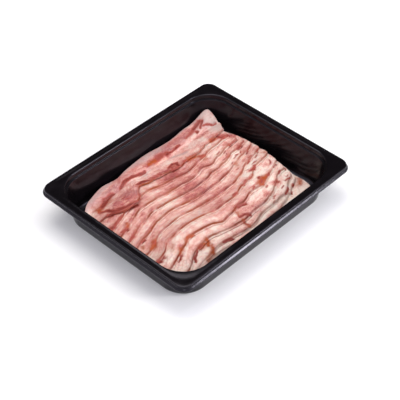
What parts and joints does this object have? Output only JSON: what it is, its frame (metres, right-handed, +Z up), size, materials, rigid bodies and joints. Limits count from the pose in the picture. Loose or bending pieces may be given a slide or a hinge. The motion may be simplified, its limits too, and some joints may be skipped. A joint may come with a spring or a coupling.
{
  "type": "tray of raw streaky bacon",
  "caption": "Open rectangular black plastic tray with a rolled flange, holding overlapping long rashers of raw streaky bacon shingled from back to front.",
  "frame": {"origin": "centre of the tray's flat base, on the surface it stands on", "axes": "+Z up, +X along the tray's long side and along the rashers, +Y towards the topmost rasher"},
  "size_m": [0.231, 0.191, 0.038],
  "materials": {
    "tray": "glossy black thermoformed plastic",
    "bacon": null
  },
  "bodies": {
    "root": {"tray": "tray", "rasher_01": "bacon", "rasher_02": "bacon", "rasher_03": "bacon", "rasher_04": "bacon", "rasher_05": "bacon", "rasher_06": "bacon", "rasher_07": "bacon", "rasher_08": "bacon", "rasher_09": "bacon", "rasher_10": "bacon", "rasher_11": "bacon", "rasher_12": "bacon"}
  },
  "joints": []
}
